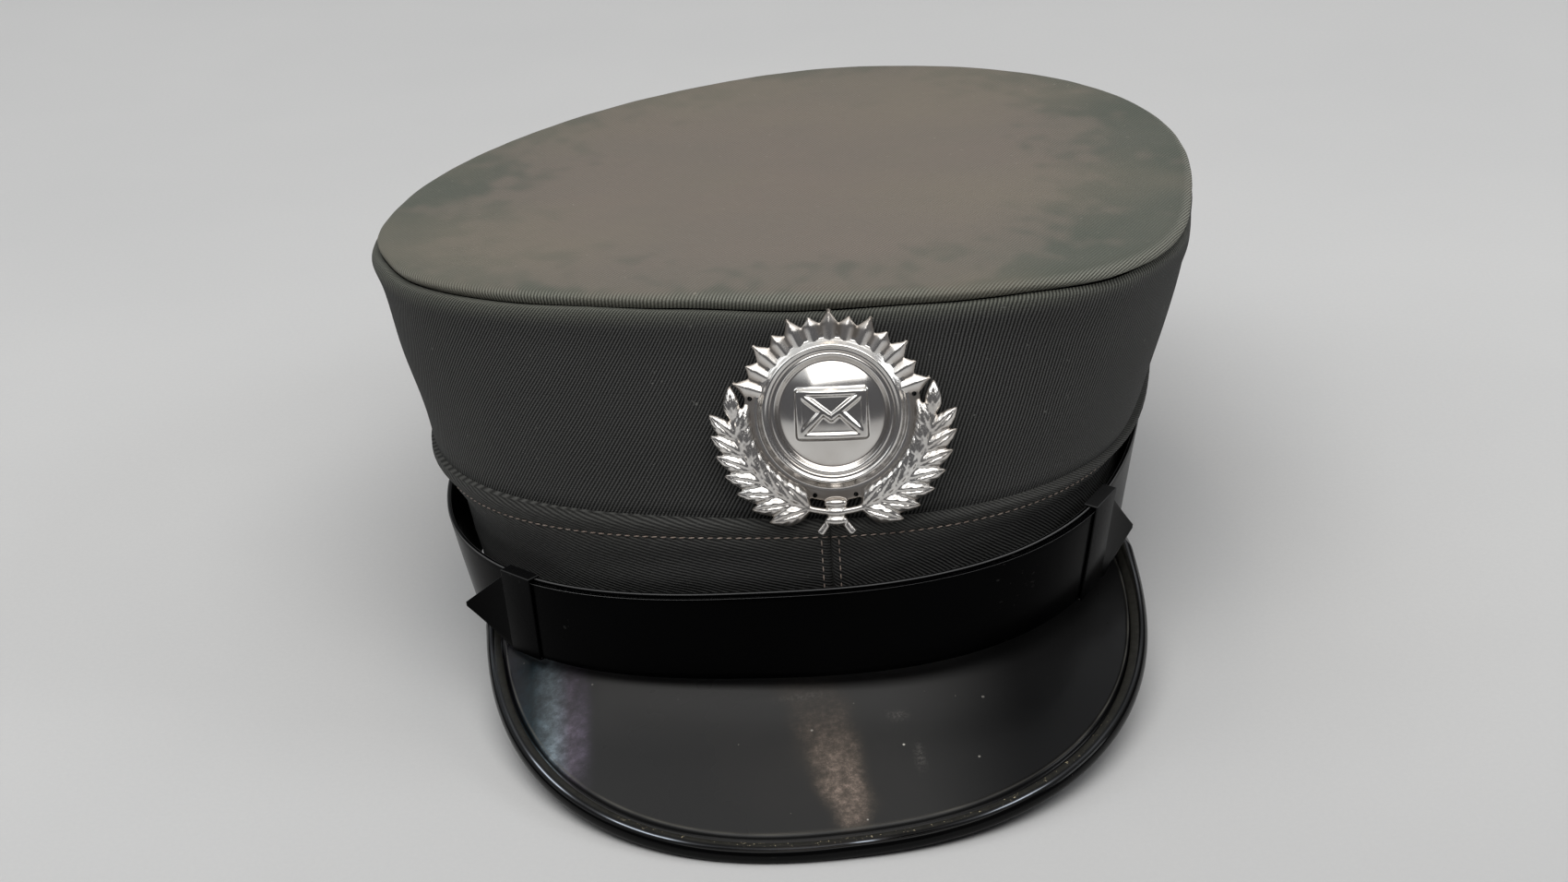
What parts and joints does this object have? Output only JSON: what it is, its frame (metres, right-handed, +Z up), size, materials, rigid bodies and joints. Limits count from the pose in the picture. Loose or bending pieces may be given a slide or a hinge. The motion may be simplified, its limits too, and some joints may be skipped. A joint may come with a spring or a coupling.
{
  "type": "postman cap",
  "caption": "Stiff peaked uniform cap with a flared cloth crown, dark band, patent chin strap with keepers, bound patent peak and a stamped silver badge.",
  "frame": {"origin": "centre of the bounding box at its bottom, on the surface the cap rests on", "axes": "-Y toward the front of the cap where the peak is, +X toward the viewer's right seen from the front, +Z up"},
  "size_m": [0.1904, 0.267, 0.0962],
  "materials": {
    "top_cloth": "faded wool twill",
    "side_cloth": "dark wool twill",
    "patent": "glossy patent leather",
    "badge_metal": "polished stamped plate"
  },
  "bodies": {
    "root": {"crown_top": "top_cloth", "crown_side": "side_cloth", "head_band": "side_cloth", "strap_loop": "patent", "strap_front": "patent", "keeper_left": "patent", "keeper_right": "patent", "peak": "patent", "peak_binding": "patent", "badge": "badge_metal"}
  },
  "joints": []
}
